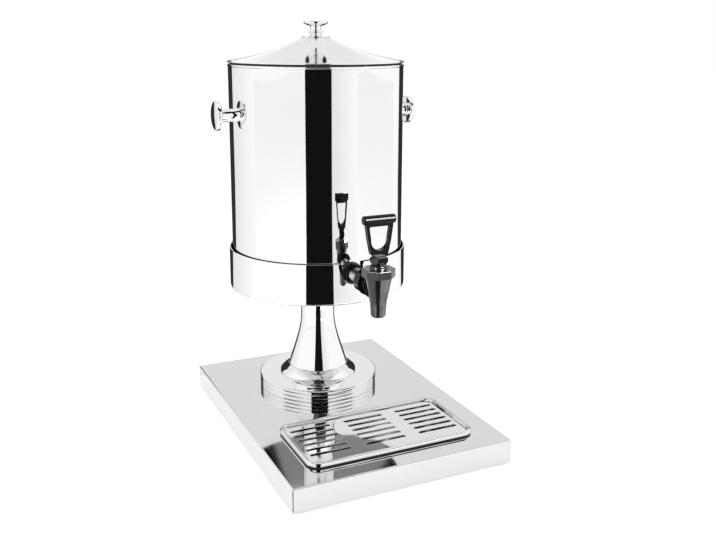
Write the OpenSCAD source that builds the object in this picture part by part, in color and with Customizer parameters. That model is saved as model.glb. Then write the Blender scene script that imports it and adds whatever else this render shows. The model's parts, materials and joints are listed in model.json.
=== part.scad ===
// Milk dispenser: a double-walled steel tank with a black tap, dropped into a round holder on a
// trumpet column, over a folded base plate with a drip tray. Front (tap and tray) towards -Y, up is +Z.
// The origin is on the surface that the feet stand on, under the middle of the base plate.

/* [Base] */
// Width of the base plate
base_w = 260; // [250:1:300]
// Depth of the base plate
base_d = 360; // [360:1:400]
// Height of the plate's top face above the table
base_top = 28.5; // [28:0.5:32]
// Thickness of the folded sheet
sheet = 1.5; // [1:0.1:2]
// Depth of the folded skirt
skirt_h = 26.5; // [26:0.5:27]
// Width of the flange that turns inwards under the skirt
flange_w = 19; // [16:1:20]
// Radius of a foot
foot_r = 7.5; // [6:0.5:8]
/* [Drip tray] */
// Outer width of the tray's rolled edge
tray_w = 200; // [180:1:210]
// Outer depth of the tray's rolled edge
tray_d = 104; // [96:1:104]
// Distance of the tray's middle in front of the origin
tray_front = 101; // [100:1:104]
// How far the rolled edge stands above the plate
tray_rise = 6; // [4:0.5:8]
// Corner radius of the rolled edge
tray_corner = 14; // [10:1:18]
// Width of the rolled edge
tray_edge = 4.5; // [3:0.5:5]
// Length of a slot in the grille
slot_l = 49; // [40:1:54]
// Width of a slot in the grille
slot_w = 5; // [4:0.5:6]
// Rows of slots
slot_rows = 7; // [5:1:7]
// Distance from row to row
slot_pitch = 12; // [10:0.5:12]
// Columns of slots
slot_columns = 3; // [2:1:3]
// Distance from column to column
column_pitch = 66; // [58:1:66]

/* [Column] */
// Distance of the tank's axis behind the origin
tank_back = 70; // [66:1:70]
// Radius of the stepped plinth
plinth_r = 75; // [60:1:80]
// Number of rings in the plinth
plinth_rings = 3; // [2:1:4]
// Height of one ring
ring_h = 5; // [4:0.5:5]
// Radius of the bead at the foot of the column
bead_r = 48.5; // [44:0.5:52]
// Height of the bead
bead_h = 10.5; // [9:0.5:12]
// Radius of the column at its foot, above the bead
column_foot_r = 37.3; // [33:0.1:40]
// Radius of the column's neck
column_neck_r = 21.3; // [18:0.1:24]
// Height of the flared part of the column
flare_h = 64; // [55:1:70]
// Radius of the tie rod through the column
rod_r = 4; // [3:0.5:5]

/* [Holder] */
// Outer radius of the holder
cup_r = 109.5; // [109.5:0.1:110]
// Height of the holder's underside above the table
cup_bottom = 162; // [160:1:172]
// Height of the holder's wall
cup_h = 50; // [48:1:52]
// Width of the notch that the tap's shank drops into
notch_w = 26; // [25.6:0.1:30]

/* [Tank] */
// Outer radius of the tank
tank_r = 105.5; // [105:0.1:105.5]
// Height of the tank's rim above the table
rim_z = 434.5; // [412:0.5:452]
// Outer radius of the inner liner
liner_r = 99; // [98.5:0.1:99.5]
// Wall of the shell
shell_t = 1; // [0.8:0.1:1.2]
// Wall of the liner
liner_t = 0.8; // [0.6:0.1:1]
// Height of the handles' middle
handle_z = 376; // [342:1:392]
// How far a handle reaches from the tank's axis
handle_reach = 128.5; // [126:0.5:130]
// Radius of a handle's end disc
handle_disc_r = 17.3; // [15:0.1:19]

/* [Lid] */
// Radius of the lid
lid_r = 106.6; // [106:0.1:107]
// Height of the lid's cone
lid_h = 28; // [24:0.5:34]
// Radius of the knob
knob_r = 14.5; // [12:0.5:18]

/* [Tap] */
// Distance of the spout's axis in front of the tank's axis
tap_reach = 175; // [172:1:180]
// Height of the shank's axis
shank_z = 200; // [198:1:202]
// Radius of the shank
shank_r = 8; // [7.5:0.1:8.5]
// Radius of the coupling nut
coupling_r = 14.5; // [13:0.1:16]
// Height of the bonnet's lower edge
bonnet_z = 213; // [212:0.5:214]
// Width of the bonnet across its flats
bonnet_flats = 34; // [32:0.5:36]
// Height of the spout's end
spout_z = 167.8; // [166:0.1:170]
// Radius of the spout's end
spout_r = 8.3; // [7.8:0.1:8.6]
// Length of the lever's bar
lever_bar = 38; // [34:0.5:40]
// Height of the lever's bar
lever_z = 276.3; // [272:0.1:282]

/* [Hidden] */
$fn = 96;
gap = 0.2;                            // between things that rest on each other
running = 0.05;                       // radial clearance of a turning or sliding fit

// Base
foot_h = base_top - skirt_h;
stiffener_w = 140;
stiffener_t = 4;
washer_t = 2;
washer_r = 12;
rod_nut_r = 7.5;
rod_nut_h = 7;
rod_hole_r = rod_r + 0.3;
washer_z = base_top - sheet - stiffener_t - washer_t;
nut_z = washer_z - rod_nut_h;

// Drip tray
tray_y = -tray_front;
tray_t = 1.2;
tray_seal_w = 2.6;                      // room for the seal under the rolled edge
tray_seal_t = 1.2;
tray_bottom = foot_h + 3;
ledge_z = base_top + 1.5;
ledge_w = 3.5;
pan_w = tray_w - 2 * (tray_edge + ledge_w);
pan_d = tray_d - 2 * (tray_edge + ledge_w);
pan_corner = 5;
grille_t = 1.5;
grille_back = 10;                     // middle of the slots behind the middle of the tray

// Column and holder
tank_y = tank_back;
plinth_h = plinth_rings * ring_h;
bead_z = base_top + plinth_h;
column_z = bead_z + bead_h;
column_wall = 2;
column_cap = 4;
cup_t = 1.5;
cup_corner = 3;
cup_floor = cup_bottom + cup_t;
cup_top = cup_bottom + cup_h;
notch_fillet = 3;
pack_h = 19;
pack_r = 98;
pack_hole_r = 26;

// Tank
tank_foot = cup_floor + 0.3;
cap_z = cup_floor + pack_h + 2;
cap_lip = 8;
liner_floor = cap_z + 2.5;
rim_roll = 1.5;
stem_r = 7.7;
handle_disc_t = 6.5;
handle_ring_t = 1.5;
handle_x = handle_reach - handle_disc_t;
stud_r = 3;
stud_reach = handle_reach - 2.5;

// Lid
lid_z = rim_z + 2.6;
lid_seal_t = 1.3;
lid_t = 0.9;
lid_flat_r = 16.8;
lid_top = lid_z + lid_h;
knob_washer_t = 2.5;
knob_hole_r = 2.5;

// Tap, along the shank, counted from the tank's axis
tap_y = tank_y - tap_reach;
shank_end = -160;
shank_start = -86;
barrel_end = -148;
coupling_y0 = -152.5;
coupling_y1 = -140.5;
outer_nut_y = -115.5;
outer_washer_y = -108.5;
washer_y = -94;
inner_nut_y = -88;
wall_nut_r = 12.4;
barrel_r = 10.5;
bore_r = 5;

// Tap, upright
neck_z = bonnet_z - 30;
neck_r = 9;
cone_r = 14.8;
seat_z = bonnet_z - 24;
seat_r = 6.9;
chamber_r = 11.2;
outlet_r = 4.6;
bonnet_top = bonnet_z + 9.5;
boss_r = 9.5;
boss_top = bonnet_top + 3.5;
spigot = 4;
gland_r = 4.4;
gland_h = 2.5;
plunger_r = 2.5;
plug_r = 6.2;
plug_h = 4;
plug_z = seat_z + gap;

// Lever, with its side view counted from the pivot pin: Y back, Z up
pivot_y = -6;                         // in front of the spout's axis
pivot_z = boss_top + 4.7;
pin_r = 1.5;
cross_r = 1.2;
slot_r = cross_r + 0.3;
slot_run = 1.6;                       // the cross pin slides this far back in the lever's slot
tongue_x = 2.9;
tongue_r = 3.3;
fork_x = 3.2;
lever_x = 5.8;
lever_t = 6.5;
lever_bar_r = 5;
lever_block = 5.8;                    // height of the block above the pivot pin
loop_r = 10.3;
loop_z = lever_z - 22.7;
fork_pocket = [[-4.2, 3.8], [11.3, 3.8], [11.3, -6], [-8, -6], [-8, 0], [-4.2, 0]];
lever_side = [[-5.5, lever_block], [9.5, lever_block], [17, 1.3], [17, -1.5], [14, -4], [0, -4],
              [-4, 0], [-5.5, 0.8]];
lever_front = [[5.8, -42], [5.8, -41], [10.3, -37.5], [11.2, -33], [13.6, -21.8], [15.9, -6.3], [16.2, 0]];

// A rectangle with round corners
module round_rect(w, d, r) {
    square([w - 2 * r, d], center = true);
    square([w, d - 2 * r], center = true);
    for (x = [-1, 1], y = [-1, 1])
        translate([x * (w / 2 - r), y * (d / 2 - r)]) circle(r);
}

// A straight wall that stands on a round_rect outline
module box_wall(w, d, r, t, h) {
    linear_extrude(h) difference() {
        round_rect(w, d, r);
        round_rect(w - 2 * t, d - 2 * t, max(r - t, 0.5));
    }
}

// A ring, pipe or disc with a hole, standing on z = 0
module pipe(outer, inner, h) {
    difference() {
        cylinder(r = outer, h = h);
        translate([0, 0, -1]) cylinder(r = inner, h = h + 2);
    }
}

// A cylinder along the shank, between two places counted from the tank's axis
module along_shank(r, y0, y1, sides = 96) {
    translate([0, tank_y + y0, shank_z]) rotate([-90, 0, 0]) cylinder(r = r, h = y1 - y0, $fn = sides);
}

// An upright cylinder on the tank's axis
module tank_drum(r, z0, z1) {
    translate([0, tank_y, z0]) cylinder(r = r, h = z1 - z0, $fn = 128);
}

// Puts things on the spout's axis, at a height
module at_tap(z) {
    translate([0, tap_y, z]) children();
}

// Points of an arc, for outlines that are turned round
function arc(cx, cy, r, a0, a1, n = 8) =
    [for (i = [0 : n]) let (a = a0 + (a1 - a0) * i / n) [cx + r * cos(a), cy + r * sin(a)]];

// Base

module feet_places() {
    inset = foot_r + 3.5;
    for (x = [-1, 1], y = [-1, 1])
        translate([x * (base_w / 2 - inset), y * (base_d / 2 - inset), 0]) children();
}

module base_plate() {
    color("gainsboro") difference() {
        union() {
            translate([0, 0, base_top - sheet]) linear_extrude(sheet) round_rect(base_w, base_d, 2);
            translate([0, 0, foot_h]) box_wall(base_w, base_d, 2, sheet, skirt_h - sheet);
            translate([0, 0, foot_h]) box_wall(base_w - 1, base_d - 1, 1.5, flange_w, sheet);
        }
        translate([0, tray_y, 0]) linear_extrude(base_top + 1)
            round_rect(pan_w + 4, pan_d + 4, pan_corner + 1);
        translate([0, tank_y, 0]) cylinder(r = rod_hole_r, h = base_top + 1);
        feet_places() cylinder(r = foot_r * 0.4, h = foot_h + 3);
    }
}

module base_stiffener() {
    color("silver") translate([0, tank_y, base_top - sheet - stiffener_t]) difference() {
        linear_extrude(stiffener_t) round_rect(stiffener_w, stiffener_w, 10);
        translate([0, 0, -1]) cylinder(r = rod_hole_r, h = stiffener_t + 2);
    }
}

// A foot is a disc with a stem through the flange and a head that holds it
module rubber_feet() {
    color("dimgray") feet_places() {
        cylinder(r = foot_r, h = foot_h);
        cylinder(r = foot_r * 0.4, h = foot_h + sheet);
        translate([0, 0, foot_h + sheet]) cylinder(r = foot_r * 0.55, h = 1.5);
    }
}

// Drip tray

module drip_tray() {
    bevel = 0.8;
    bevel_h = 1.2;
    inner_w = tray_w - 2 * tray_edge + 1;
    inner_d = tray_d - 2 * tray_edge + 1;
    color("gainsboro") translate([0, tray_y, 0]) {
        translate([0, 0, base_top + 2 * gap + tray_seal_t])
            box_wall(tray_w, tray_d, tray_corner, tray_edge, tray_rise - 2 * gap - tray_seal_t - bevel_h);
        translate([0, 0, base_top + gap])
            box_wall(tray_w - 2 * tray_seal_w, tray_d - 2 * tray_seal_w, tray_corner - tray_seal_w,
                tray_edge - tray_seal_w, 3);
        translate([0, 0, base_top + tray_rise - bevel_h])
            box_wall(tray_w - 2 * bevel, tray_d - 2 * bevel, tray_corner - bevel,
                tray_edge - 2 * bevel, bevel_h);
        translate([0, 0, base_top + gap]) linear_extrude(ledge_z - base_top - gap) difference() {
            round_rect(inner_w, inner_d, tray_corner - tray_edge);
            round_rect(pan_w, pan_d, pan_corner);
        }
        translate([0, 0, tray_bottom])
            box_wall(pan_w + 2 * tray_t, pan_d + 2 * tray_t, pan_corner + tray_t,
                tray_t, ledge_z - tray_bottom);
        translate([0, 0, tray_bottom]) linear_extrude(tray_t) round_rect(pan_w + 1, pan_d + 1, pan_corner);
    }
}

// The thin black seal under the rolled edge keeps drips out of the plate
module tray_seal() {
    color("dimgray") translate([0, tray_y, base_top + gap])
        box_wall(tray_w - 0.6, tray_d - 0.6, tray_corner - 0.3, tray_seal_w - 0.5, tray_seal_t);
}

module slot_places() {
    for (i = [0 : slot_columns - 1], j = [0 : slot_rows - 1])
        translate([(i - (slot_columns - 1) / 2) * column_pitch, (j - (slot_rows - 1) / 2) * slot_pitch])
            children();
}

module drip_grille() {
    play = 0.5;
    grille_w = tray_w - 2 * (tray_edge + play);
    grille_d = tray_d - 2 * (tray_edge + play);
    color("lightgray") translate([0, tray_y, ledge_z + gap]) linear_extrude(grille_t) difference() {
        round_rect(grille_w, grille_d, tray_corner - tray_edge - play);
        translate([0, grille_back]) slot_places() {
            square([slot_l - slot_w, slot_w], center = true);
            for (x = [-1, 1]) translate([x * (slot_l - slot_w) / 2, 0]) circle(d = slot_w, $fn = 32);
        }
    }
}

// Column

// A stepped disc, hollow underneath, with a groove between its rings
module plinth() {
    groove = 0.9;
    wall = 4;
    roof = 2.5;
    hub_r = rod_hole_r + 6;
    color("gainsboro") translate([0, tank_y, base_top]) rotate_extrude() difference() {
        translate([rod_hole_r, 0]) square([plinth_r - rod_hole_r, plinth_h]);
        for (i = [0 : plinth_rings]) translate([plinth_r, i * ring_h]) circle(groove, $fn = 32);
        translate([hub_r, -1]) square([plinth_r - wall - hub_r, plinth_h - roof + 1]);
    }
}

module column_bead() {
    // a cone-shaped foot that turns under at its lower edge
    inner = column_foot_r - 4;
    edge = 1.2;
    color("gainsboro") translate([0, tank_y, bead_z]) rotate_extrude()
        polygon(concat([[inner, 0]], arc(bead_r - edge, edge, edge, -90, 35, 6),
                       [[column_foot_r + 5.4, bead_h * 0.58], [column_foot_r + 0.6, bead_h],
                        [inner, bead_h]]));
}

// Share of the flare that is left at height t of it, from 1 at the foot to 0 at the neck
function flare(t) = pow(1 - t, 1.5) + 0.5 * t * pow(1 - t, 3);
function column_r(t) = column_neck_r + (column_foot_r - column_neck_r) * flare(t);

module column() {
    steps = 20;
    foot_round = 0.8;
    outside = [for (i = [0 : steps]) [column_r(i / steps), flare_h * i / steps]];
    top = cup_bottom - column_z;
    color("gainsboro") translate([0, tank_y, column_z]) rotate_extrude() difference() {
        polygon(concat([[rod_hole_r, 0], [column_foot_r - foot_round, 0]],
                       arc(column_foot_r - foot_round, foot_round, foot_round, -90, 0, 4),
                       [for (p = outside) if (p[1] > foot_round) p],
                       [[column_neck_r, top], [rod_hole_r, top]]));
        polygon(concat([[0, -1], [column_foot_r - column_wall, -1]],
                       [for (p = outside) [p[0] - column_wall, p[1]]],
                       [[column_neck_r - column_wall, top - column_cap], [0, top - column_cap]]));
    }
}

module tie_rod() {
    color("silver") translate([0, tank_y, nut_z - 3]) cylinder(r = rod_r, h = cup_floor + 10 - nut_z + 3);
}

module tie_rod_washer() {
    color("silver") translate([0, tank_y, washer_z]) pipe(washer_r, rod_r, washer_t);
}

module tie_rod_nut() {
    color("silver") translate([0, tank_y, nut_z]) difference() {
        cylinder(r = rod_nut_r, h = rod_nut_h, $fn = 6);
        translate([0, 0, -1]) cylinder(r = rod_r, h = rod_nut_h + 2);
    }
}

// Holder

// The notch seen from the front: a half circle under a slit with rounded upper corners
module notch_outline() {
    half = notch_w / 2;
    rise = cup_top - shank_z;
    circle(half);
    translate([-half, 0]) square([notch_w, rise + 2]);
    for (x = [-1, 1]) difference() {
        translate([x * (half + notch_fillet / 2), rise - notch_fillet / 2 + 1])
            square([notch_fillet, notch_fillet + 2], center = true);
        translate([x * (half + notch_fillet), rise - notch_fillet]) circle(notch_fillet, $fn = 48);
    }
}

module holder() {
    inner = cup_r - cup_t;
    inner_corner = cup_corner - cup_t;
    color("gainsboro") difference() {
        translate([0, tank_y, cup_bottom]) rotate_extrude($fn = 128) polygon(concat(
            [[rod_hole_r, 0]], arc(cup_r - cup_corner, cup_corner, cup_corner, -90, 0),
            [[cup_r, cup_h], [inner, cup_h]],
            arc(inner - inner_corner, cup_corner, inner_corner, 0, -90),
            [[rod_hole_r, cup_t]]));
        translate([0, tank_y - cup_r + 8, shank_z]) rotate([90, 0, 0]) linear_extrude(12) notch_outline();
    }
}

module holder_washer() {
    color("silver") translate([0, tank_y, cup_floor]) pipe(20, rod_r, washer_t);
}

module dome_nut() {
    dome = 6.5;
    hex_h = 6;
    color("silver") translate([0, tank_y, cup_floor + washer_t]) difference() {
        union() {
            cylinder(r = rod_nut_r, h = hex_h, $fn = 6);
            intersection() {
                translate([0, 0, hex_h - 0.5]) sphere(dome);
                cylinder(r = dome, h = 2 * dome);
            }
        }
        translate([0, 0, -1]) cylinder(r = rod_r, h = 9.2);
    }
}

module cooling_pack() {
    r = 4;
    color("steelblue") translate([0, tank_y, cup_floor + gap]) rotate_extrude($fn = 128) polygon(concat(
        [[pack_hole_r, 0]], arc(pack_r - r, r, r, -90, 0, 6), arc(pack_r - r, pack_h - r, r, 0, 90, 6),
        arc(pack_hole_r + r, pack_h - r, r, 90, 180, 6)));
}

// Tank

module shank_hole() {
    along_shank(shank_r, -tank_r - 4, -liner_r + 6);
}

module tank_shell() {
    color("gainsboro") difference() {
        tank_drum(tank_r, tank_foot, rim_z - 2 * rim_roll);
        tank_drum(tank_r - shell_t, tank_foot - 1, rim_z);
        shank_hole();
        translate([-tank_r - 2, tank_y, handle_z]) rotate([0, 90, 0])
            cylinder(r = stud_r, h = 2 * tank_r + 4);
    }
}

module tank_liner() {
    color("lightgray") difference() {
        tank_drum(liner_r, liner_floor, rim_z - rim_roll);
        tank_drum(liner_r - liner_t, liner_floor + liner_t, rim_z);
        shank_hole();
    }
}

module tank_bottom() {
    r = tank_r - shell_t;
    color("lightgray") {
        tank_drum(r, cap_z, cap_z + 1);
        difference() {
            tank_drum(r, cap_z - cap_lip, cap_z + 0.5);
            tank_drum(r - 1, cap_z - cap_lip - 1, cap_z);
        }
    }
}

// The rolled rim, with a flat land inwards to the liner
module tank_rim() {
    low = liner_r - liner_t;
    roll_r = tank_r - 0.8;
    color("gainsboro") translate([0, tank_y, rim_z - 2 * rim_roll]) rotate_extrude($fn = 128) {
        translate([low, rim_roll]) square([roll_r - low, rim_roll]);
        translate([roll_r, rim_roll]) circle(rim_roll, $fn = 32);
    }
}

// Lies a thing along X, at the handle's height; side is -1 on the left and 1 on the right
module at_handle(side) {
    translate([0, tank_y, handle_z]) rotate([0, side * 90, 0]) children();
}

module handle_stem(side) {
    color("gainsboro") difference() {
        at_handle(side) {
            cylinder(r = stem_r, h = handle_x);
            translate([0, 0, handle_x - handle_ring_t]) cylinder(r = stem_r + 1.2, h = handle_ring_t);
        }
        tank_drum(tank_r, handle_z - 30, handle_z + 30);
        at_handle(side) cylinder(r = stud_r, h = stud_reach);
    }
}

module handle_disc(side) {
    edge = 1.5;
    face = 2.8;
    dome = 0.6;
    color("gainsboro") difference() {
        at_handle(side) translate([0, 0, handle_x]) rotate_extrude() polygon(concat(
            [[0, 0]], arc(handle_disc_r - edge, edge, edge, -90, 0, 4),
            arc(handle_disc_r - face, handle_disc_t - dome - face, face, 0, 80, 6),
            [[0, handle_disc_t]]));
        at_handle(side) cylinder(r = stud_r, h = stud_reach);
    }
}

module handle_studs() {
    color("silver") for (side = [-1, 1]) at_handle(side) translate([0, 0, liner_r + 0.7])
        cylinder(r = stud_r, h = stud_reach - liner_r - 0.7);
}

module handle_nuts() {
    color("silver") for (side = [-1, 1]) at_handle(side) translate([0, 0, liner_r + 1]) difference() {
        cylinder(r = 5.5, h = 4, $fn = 6);
        translate([0, 0, -1]) cylinder(r = stud_r, h = 6);
    }
}

// Lid

// Height of the lid's outside above its edge, at radius r
function lid_rise(r) = let (u = (lid_r - r) / (lid_r - lid_flat_r)) lid_h * (0.64 * u + 0.36 * pow(u, 3));

module lid_shell() {
    steps = 14;
    lip = 0.6;
    radii = [for (i = [0 : steps]) lid_r - 1 - (lid_r - 1 - lid_flat_r) * i / steps];
    color("gainsboro") translate([0, tank_y, lid_z]) rotate_extrude($fn = 128) polygon(concat(
        arc(lid_r - lip, 0, lip, -90, 90, 6),
        [for (r = radii) if (r < lid_r - 2 * lip) [r, lid_rise(r)]],
        [[knob_hole_r, lid_h], [knob_hole_r, lid_h - lid_t]],
        [for (i = [steps : -1 : 0]) if (radii[i] < lid_r - 3) [radii[i], lid_rise(radii[i]) - lid_t]]));
}

// The skirt that goes into the liner, with a narrow flange over the rim
module lid_skirt() {
    low = -12.4;
    outer = liner_r - liner_t - 1;
    seat = rim_z + gap + lid_seal_t - lid_z;
    color("lightgray") translate([0, tank_y, lid_z]) rotate_extrude($fn = 128) {
        translate([outer - 0.8, low]) square([0.8, 0.9 - low]);
        translate([outer - 0.1, seat]) square([4.3, 0.9]);
    }
}

// The black seal that holds on to the flange and rests on the rim
module lid_seal() {
    inner = liner_r - liner_t - 0.8;
    flange = inner + 4.3;
    outer = flange + 1.3;
    color("dimgray") translate([0, tank_y, rim_z + gap]) rotate_extrude($fn = 128) polygon([
        [inner, 0], [outer, 0], [outer, 2.1], [flange, 2.1],
        [flange, lid_seal_t - 0.1], [inner, lid_seal_t - 0.1]]);
}

module knob_washer() {
    edge = 0.9;
    color("gainsboro") translate([0, tank_y, lid_top]) rotate_extrude() polygon(concat(
        [[knob_hole_r, 0]], arc(lid_flat_r - edge - 0.3, edge, edge, -90, 60, 5),
        [[9, knob_washer_t], [knob_hole_r, knob_washer_t]]));
}

// The knob from below: a trumpet foot, a ring, a thin neck and a mushroom head
module lid_knob() {
    foot_r = 8.6;
    ring_r = 1.6;
    neck_r = 4.3;
    head = 11.9;
    head_edge = 2.5;
    top = 17.6;
    color("gainsboro") translate([0, tank_y, lid_top + knob_washer_t]) rotate_extrude() difference() {
        polygon(concat([[0, 0]], arc(foot_r, 2.4, 2.4, -90, -140, 3), [[5.6, 1.1]],
            arc(foot_r - 2, 2.75, ring_r, -70, 70, 6),
            [[neck_r, 4.5], [neck_r, 6.9], [foot_r - 0.4, 7.5], [11.5, 9.6]],
            arc(knob_r - head_edge, head + head_edge, head_edge, -80, 70, 8), [[6, top - 0.2], [0, top]]));
        translate([-1, -1]) square([knob_hole_r + 1, 12]);
    }
}

module knob_screw() {
    head_h = 3;
    color("silver") translate([0, tank_y, lid_top - lid_t - head_h]) {
        cylinder(r = 2 * knob_hole_r, h = head_h);
        cylinder(r = knob_hole_r, h = lid_t + head_h + knob_washer_t + 10.5);
    }
}

// Tap, from the inside of the tank outwards

module inner_nut() {
    color("silver") difference() {
        along_shank(11.5, washer_y, inner_nut_y, 6);
        along_shank(shank_r, washer_y - 1, inner_nut_y + 1);
    }
}

module inner_washer() {
    color("whitesmoke") difference() {
        intersection() {
            along_shank(11.5, -liner_r, washer_y);
            tank_drum(liner_r - liner_t, shank_z - 20, shank_z + 20);
        }
        along_shank(shank_r, -liner_r - 1, washer_y + 1);
    }
}

// Keeps the two walls apart when the nuts pull them together
module wall_sleeve() {
    color("silver") difference() {
        intersection() {
            along_shank(10, -tank_r, -liner_r + 6);
            tank_drum(tank_r - shell_t, shank_z - 20, shank_z + 20);
        }
        tank_drum(liner_r, shank_z - 20, shank_z + 20);
        shank_hole();
    }
}

module outer_washer() {
    color("dimgray") difference() {
        along_shank(wall_nut_r, outer_washer_y, -tank_r + 1.5);
        tank_drum(tank_r, shank_z - 20, shank_z + 20);
        along_shank(shank_r, outer_washer_y - 1, -tank_r + 2);
    }
}

module outer_nut() {
    color("silver") difference() {
        along_shank(wall_nut_r, outer_nut_y, outer_washer_y, 6);
        along_shank(shank_r, outer_nut_y - 1, outer_washer_y + 1);
    }
}

module tap_shank() {
    color("silver") difference() {
        along_shank(shank_r, shank_end, shank_start);
        along_shank(bore_r, shank_end - 1, shank_start + 1);
    }
}

module coupling_nut() {
    bevel = 1.2;
    color("black") difference() {
        union() {
            along_shank(coupling_r, coupling_y0 + bevel, coupling_y1 - bevel);
            along_shank(coupling_r - bevel, coupling_y0, coupling_y1);
        }
        along_shank(barrel_r, coupling_y0 - 1, barrel_end);
        along_shank(shank_r, coupling_y0 - 1, coupling_y1 + 1);
    }
}

// The spout: a cone over a straight end, with the barrel that takes the shank
module tap_body() {
    tip = 2;
    color("black") difference() {
        union() {
            at_tap(neck_z) cylinder(r1 = neck_r, r2 = cone_r, h = bonnet_z - neck_z);
            at_tap(spout_z + tip) cylinder(r1 = spout_r, r2 = neck_r, h = neck_z - spout_z - tip);
            at_tap(spout_z) cylinder(r1 = spout_r - 1.6, r2 = spout_r, h = tip);
            along_shank(barrel_r, -tap_reach, barrel_end);
        }
        at_tap(seat_z) cylinder(r1 = seat_r, r2 = chamber_r, h = 19.5);
        at_tap(seat_z + 19.4) cylinder(r = chamber_r, h = 6);
        at_tap(spout_z - 1) cylinder(r = outlet_r, h = seat_z - spout_z + 5);
        along_shank(shank_r, shank_end, barrel_end + 1);
        along_shank(bore_r, -tap_reach, shank_end + 1);
    }
}

module tap_bonnet() {
    flats_r = bonnet_flats / 2;
    corner_r = flats_r / cos(22.5);
    band = bonnet_top - bonnet_z;
    color("black") difference() {
        union() {
            at_tap(bonnet_z) intersection() {
                rotate([0, 0, 22.5]) cylinder(r = corner_r, h = band, $fn = 8);
                cylinder(r1 = corner_r + band - 1.3, r2 = corner_r - 1.3, h = band);
            }
            at_tap(bonnet_top - 1) cylinder(r = boss_r, h = boss_top - bonnet_top + 1);
            at_tap(bonnet_z - spigot) cylinder(r = chamber_r - gap, h = spigot + 1);
            bonnet_tongue();
        }
        at_tap(bonnet_z - spigot - 1) cylinder(r = plunger_r + running, h = 30);
        at_tap(bonnet_z - gland_h) cylinder(r = gland_r, h = gland_h);
        translate([-tongue_x - 1, tap_y + pivot_y, pivot_z]) rotate([0, 90, 0])
            cylinder(r = pin_r, h = 2 * tongue_x + 2);
    }
}

// The tongue that carries the lever's pivot pin
module bonnet_tongue() {
    translate([-tongue_x, tap_y + pivot_y, pivot_z]) rotate([0, 90, 0])
        cylinder(r = tongue_r, h = 2 * tongue_x);
    translate([-tongue_x, tap_y + pivot_y - tongue_r, boss_top - 1])
        cube([2 * tongue_x, 2 * tongue_r, pivot_z - boss_top + 1]);
}

module gland_ring() {
    color("dimgray") at_tap(bonnet_z - gland_h) pipe(gland_r, plunger_r + running, gland_h);
}

// The room that the coiled spring takes between the plug and the bonnet
module tap_spring() {
    color("silver") at_tap(plug_z + plug_h) pipe(5.4, 4.3, bonnet_z - spigot - plug_z - plug_h);
}

module tap_plunger() {
    low = plug_z + 1.3;
    color("silver") difference() {
        at_tap(low) cylinder(r = plunger_r, h = pivot_z + 2.2 - low);
        translate([-5, tap_y, pivot_z]) rotate([0, 90, 0]) cylinder(r = cross_r, h = 10);
    }
}

module cross_pin() {
    half = lever_x - 0.3;
    color("silver") translate([-half, tap_y, pivot_z]) rotate([0, 90, 0]) cylinder(r = cross_r, h = 2 * half);
}

module tap_plug() {
    color("whitesmoke") at_tap(plug_z) difference() {
        cylinder(r1 = plug_r - 1, r2 = plug_r, h = plug_h);
        translate([0, 0, 1.3]) cylinder(r = plunger_r, h = plug_h);
    }
}

module pivot_pin() {
    half = lever_x - 0.3;
    color("silver") translate([-half, tap_y + pivot_y, pivot_z]) rotate([0, 90, 0])
        cylinder(r = pin_r, h = 2 * half);
}

// Extrudes a side view, counted from the pivot pin, to both sides of the middle
module from_side(half) {
    translate([-half, tap_y + pivot_y, pivot_z]) rotate([90, 0, 90]) linear_extrude(2 * half) children();
}

// Outline of the lever seen from the front, counted from its bar
module lever_outline() {
    last = len(lever_front) - 1;
    difference() {
        polygon(concat(lever_front, [for (i = [last : -1 : 0]) [-lever_front[i][0], lever_front[i][1]]]));
        translate([0, loop_z - lever_z]) circle(loop_r);
        polygon([[-loop_r, loop_z - lever_z], [loop_r, loop_z - lever_z], [12.2, -8], [11.2, -7],
                 [-11.2, -7], [-12.2, -8]]);
    }
}

module tap_lever() {
    bar = lever_bar / 2 - lever_bar_r;
    color("black") difference() {
        union() {
            translate([0, tap_y + lever_t / 2, lever_z]) rotate([90, 0, 0])
                linear_extrude(lever_t) lever_outline();
            translate([-bar, tap_y, lever_z]) rotate([0, 90, 0]) cylinder(r = lever_bar_r, h = 2 * bar);
            for (x = [-1, 1]) translate([x * bar, tap_y, lever_z]) sphere(lever_bar_r);
            from_side(lever_x) polygon(lever_side);
            from_side(lever_x) circle(4);
        }
        from_side(fork_x) polygon(fork_pocket);
        from_side(lever_x + 1) circle(pin_r + running);
        from_side(lever_x + 1) {
            for (y = [0, slot_run]) translate([y - pivot_y, 0]) circle(slot_r);
            translate([-pivot_y, -slot_r]) square([slot_run, 2 * slot_r]);
        }
    }
}

base_plate();
base_stiffener();
rubber_feet();
drip_tray();
tray_seal();
drip_grille();
plinth();
column_bead();
column();
tie_rod();
tie_rod_washer();
tie_rod_nut();
holder();
holder_washer();
dome_nut();
cooling_pack();
tank_shell();
tank_liner();
tank_bottom();
tank_rim();
handle_stem(-1);  // left_handle_stem
handle_disc(-1);  // left_handle_disc
handle_stem(1);  // right_handle_stem
handle_disc(1);  // right_handle_disc
handle_studs();
handle_nuts();
lid_shell();
lid_skirt();
lid_seal();
knob_washer();
lid_knob();
knob_screw();
wall_sleeve();
tap_shank();
inner_washer();
inner_nut();
outer_washer();
outer_nut();
coupling_nut();
tap_body();
tap_bonnet();
gland_ring();
tap_spring();
tap_plunger();
cross_pin();
tap_plug();
tap_lever();
pivot_pin();
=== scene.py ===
import json
import math

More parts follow.
